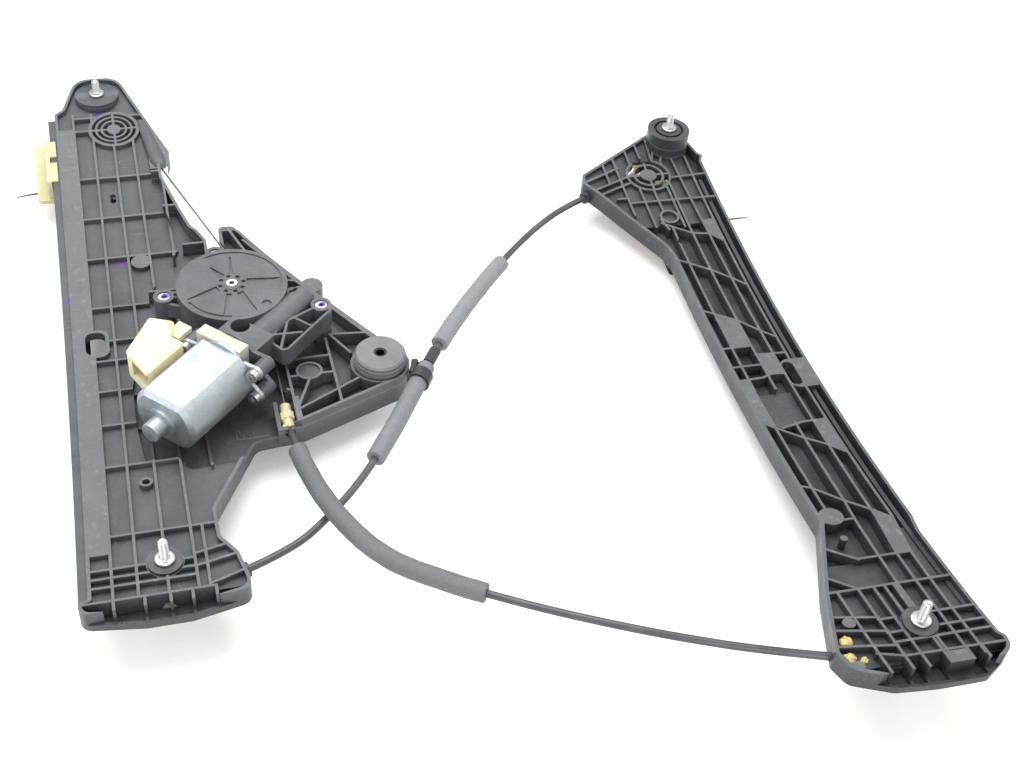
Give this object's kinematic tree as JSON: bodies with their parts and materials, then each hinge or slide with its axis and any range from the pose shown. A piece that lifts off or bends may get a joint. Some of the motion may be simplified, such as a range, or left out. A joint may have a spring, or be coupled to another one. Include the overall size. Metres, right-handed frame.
{
  "type": "window regulator",
  "caption": "Cable-driven twin-rail window regulator: ribbed moulded carriers, grooved drum, worm gear motor, curved slide rails, glass clamps, sleeved conduits.",
  "frame": {"origin": "where the door's inner panel meets the flange of the drive carrier's lower stud, on its axis", "axes": "+Z along the studs toward the door's inner panel, +Y up the rails, +X from the drive rail to the second rail"},
  "size_m": [0.5763, 0.7055, 0.0881],
  "materials": {
    "carrier_plastic": "fine moulded grain",
    "housing_plastic": "fine moulded grain",
    "slider_plastic": "satin",
    "natural_plastic": "satin",
    "plug_plastic": "satin",
    "dark_plastic": "satin",
    "zinc_steel": "zinc plated",
    "black_steel": "black coated",
    "spring_steel": "bright",
    "bright_steel": "ground",
    "can_steel": "zinc plated",
    "bronze": "sintered",
    "copper": "turned",
    "ferrite": "sintered",
    "carbon": "pressed carbon",
    "rubber": "moulded",
    "foam": "open foam skin",
    "conduit_jacket": "extruded",
    "wire_rope": "greased wire rope"
  },
  "bodies": {
    "frame": {"drive_carrier": "carrier_plastic", "second_carrier": "carrier_plastic", "mounting_studs": "zinc_steel", "stud_washers": "rubber", "pulley_pins": "zinc_steel", "drive_lower_guide": "natural_plastic", "second_lower_guide": "natural_plastic", "hub_pin": "bright_steel", "gear_housing": "housing_plastic", "gear_housing_base": "housing_plastic", "housing_screws": "zinc_steel", "motor_can": "can_steel", "field_magnets": "ferrite", "end_bearing": "bronze", "worm_bush": "bronze", "brush_holder": "plug_plastic", "carbon_brushes": "carbon", "flange_screws": "zinc_steel", "connector_block": "plug_plastic", "connector_pins": "copper", "rubber_mount": "rubber", "mount_sleeve": "zinc_steel", "cable_adjuster": "natural_plastic", "first_conduit": "conduit_jacket", "second_conduit": "conduit_jacket", "foam_sleeve_first": "foam", "foam_sleeve_lower": "foam", "foam_sleeve_upper": "foam", "conduit_ferrule": "zinc_steel", "cable_clip": "dark_plastic", "upper_cable": "wire_rope", "lower_cable": "wire_rope", "linking_cable": "wire_rope", "second_lower_cable": "wire_rope", "second_upper_cable": "wire_rope"},
    "drive_slide": {"drive_slider": "slider_plastic", "drive_clamp_jaw": "black_steel", "drive_clamp_pads": "rubber", "drive_clamp_screw": "zinc_steel", "drive_spring_strip": "spring_steel", "drive_cable_saddle": "zinc_steel"},
    "second_slide": {"second_slider": "slider_plastic", "second_clamp_jaw": "black_steel", "second_clamp_pads": "rubber", "second_clamp_screw": "zinc_steel", "second_spring_strip": "spring_steel", "second_cable_saddle": "zinc_steel"},
    "drum_and_wheel": {"cable_drum": "dark_plastic", "worm_wheel": "natural_plastic"},
    "drive_pulley": {"drive_top_pulley": "natural_plastic"},
    "second_pulley": {"second_top_pulley": "natural_plastic"},
    "armature": {"armature_shaft": "bright_steel", "armature_core": "ferrite", "commutator": "copper"}
  },
  "joints": [
    {"name": "armature_spin", "type": "hinge", "parent": "frame", "child": "armature", "pos_m": [0.09757, 0.1989, -0.0004], "axis": [0.7133, 0.7009, 0], "range_deg": [-56629.1, 786.5]},
    {"name": "drive_glide", "type": "hinge", "parent": "frame", "child": "drive_slide", "pos_m": [0, 0.2476, 1.47502], "axis": [1, 0, 0], "range_deg": [-13.75, 0.19]},
    {"name": "second_glide", "type": "hinge", "parent": "frame", "child": "second_slide", "pos_m": [0.42345, 0.19494, 1.47499], "axis": [0.9998, -0.019, 0], "range_deg": [-13.75, 0.19]},
    {"name": "drum_spin", "type": "hinge", "parent": "frame", "child": "drum_and_wheel", "pos_m": [0.0675, 0.2295, -0.0044], "axis": [0, 0, 1], "range_deg": [-13.11, 943.82]},
    {"name": "drive_pulley_spin", "type": "hinge", "parent": "frame", "child": "drive_pulley", "pos_m": [0, 0.459, -0.02011], "axis": [0, -0.0706, 0.9975], "range_deg": [-16.96, 1221.41]},
    {"name": "second_pulley_spin", "type": "hinge", "parent": "frame", "child": "second_pulley", "pos_m": [0.41975, 0.34204, -0.03015], "axis": [-0.0009, -0.049, 0.9988], "range_deg": [-1223.27, 16.99]}
  ],
  "couplings": [
    {"joint": "drive_glide", "follows": "armature_spin", "ratio": 0.00024283},
    {"joint": "second_glide", "follows": "armature_spin", "ratio": 0.00024283},
    {"joint": "drum_spin", "follows": "armature_spin", "ratio": -0.016667},
    {"joint": "drive_pulley_spin", "follows": "armature_spin", "ratio": -0.021569},
    {"joint": "second_pulley_spin", "follows": "armature_spin", "ratio": 0.021601}
  ]
}
